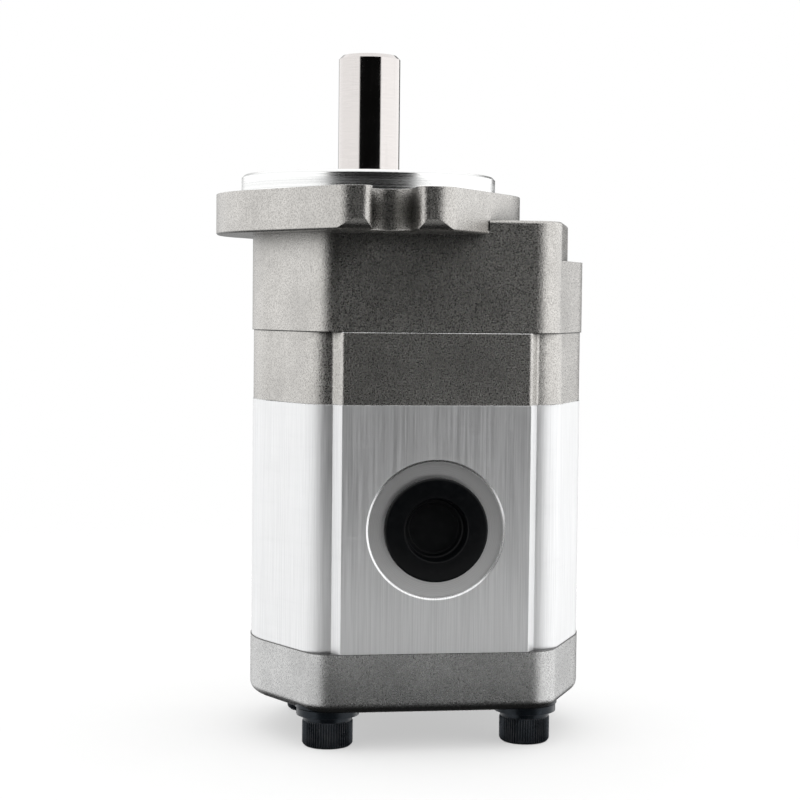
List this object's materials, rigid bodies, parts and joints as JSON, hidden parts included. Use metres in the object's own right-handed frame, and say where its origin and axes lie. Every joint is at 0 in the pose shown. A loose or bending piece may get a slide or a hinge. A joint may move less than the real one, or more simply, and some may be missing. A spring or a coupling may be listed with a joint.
{
  "type": "hydraulic gear pump",
  "caption": "External gear pump with a slotted mounting flange, round pilot, keyed straight shaft, capped threaded side ports and a bolted stack of castings.",
  "frame": {"origin": "on the drive shaft's axis, at the flange's mounting face", "axes": "+Z along the drive shaft, out of its free end; +X from the drive gear to the driven gear; -Y is the inlet side and +Y the outlet side"},
  "size_m": [0.1205, 0.13, 0.2195],
  "materials": {
    "cast_aluminium": "as cast, fine sand grain, machined joint faces",
    "extruded_aluminium": "extruded, fine vertical brushing",
    "block_aluminium": "machined",
    "ground_steel": "ground and polished",
    "key_steel": "drawn",
    "bearing_steel": "ground",
    "cage_steel": "pressed sheet",
    "bush_bronze": "sintered bronze on steel",
    "spring_steel": "phosphated",
    "seal_rubber": "moulded nitrile rubber",
    "seal_case_steel": "pressed sheet",
    "backup_plastic": "moulded polyamide",
    "dowel_steel": "ground",
    "black_steel": "black oxide",
    "plug_plastic": "satin moulded plastic"
  },
  "bodies": {
    "casing": {"front_cover": "cast_aluminium", "intermediate_plate": "cast_aluminium", "rear_cover": "cast_aluminium", "gear_housing": "extruded_aluminium", "front_bearing_block": "block_aluminium", "rear_bearing_block": "block_aluminium", "front_balance_seal": "seal_rubber", "rear_balance_seal": "seal_rubber", "front_backup_ring": "backup_plastic", "rear_backup_ring": "backup_plastic", "drive_front_bush": "bush_bronze", "driven_front_bush": "bush_bronze", "drive_rear_bush": "bush_bronze", "driven_rear_bush": "bush_bronze", "bearing_outer_race": "bearing_steel", "bearing_retaining_ring": "spring_steel", "seal_retaining_ring": "spring_steel", "shaft_seal_case": "seal_case_steel", "shaft_seal_lip": "seal_rubber", "seal_garter_spring": "spring_steel", "cover_joint_seal": "seal_rubber", "front_housing_seal": "seal_rubber", "rear_housing_seal": "seal_rubber", "cover_dowels": "dowel_steel", "plate_dowels": "dowel_steel", "rear_dowels": "dowel_steel", "through_bolts": "black_steel", "spring_washers": "black_steel", "flat_washers": "black_steel"},
    "drive_rotor": {"drive_gear_shaft": "ground_steel", "shaft_key": "key_steel", "bearing_inner_race": "bearing_steel", "shaft_retaining_ring": "spring_steel"},
    "driven_rotor": {"driven_gear_shaft": "ground_steel"},
    "bearing_cage_set": {"bearing_balls": "bearing_steel", "bearing_cage": "cage_steel"},
    "inlet_plug": {"inlet_port_plug": "plug_plastic"},
    "outlet_plug": {"outlet_port_plug": "plug_plastic"}
  },
  "joints": [
    {"name": "drive_spin", "type": "hinge", "parent": "casing", "child": "drive_rotor", "pos_m": [0, 0, 0], "axis": [0, 0, 1], "continuous": true},
    {"name": "driven_spin", "type": "hinge", "parent": "casing", "child": "driven_rotor", "pos_m": [0.0336, 0, 0], "axis": [0, 0, 1], "continuous": true},
    {"name": "bearing_cage_spin", "type": "hinge", "parent": "casing", "child": "bearing_cage_set", "pos_m": [0, 0, 0], "axis": [0, 0, 1], "continuous": true},
    {"name": "inlet_plug_pull", "type": "slide", "parent": "casing", "child": "inlet_plug", "axis": [0, -1, 0], "range_m": [0, 0.06]},
    {"name": "outlet_plug_pull", "type": "slide", "parent": "casing", "child": "outlet_plug", "axis": [0, 1, 0], "range_m": [0, 0.06]}
  ],
  "couplings": [
    {"joint": "driven_spin", "follows": "drive_spin", "ratio": -1},
    {"joint": "bearing_cage_spin", "follows": "drive_spin", "ratio": 0.3976}
  ]
}
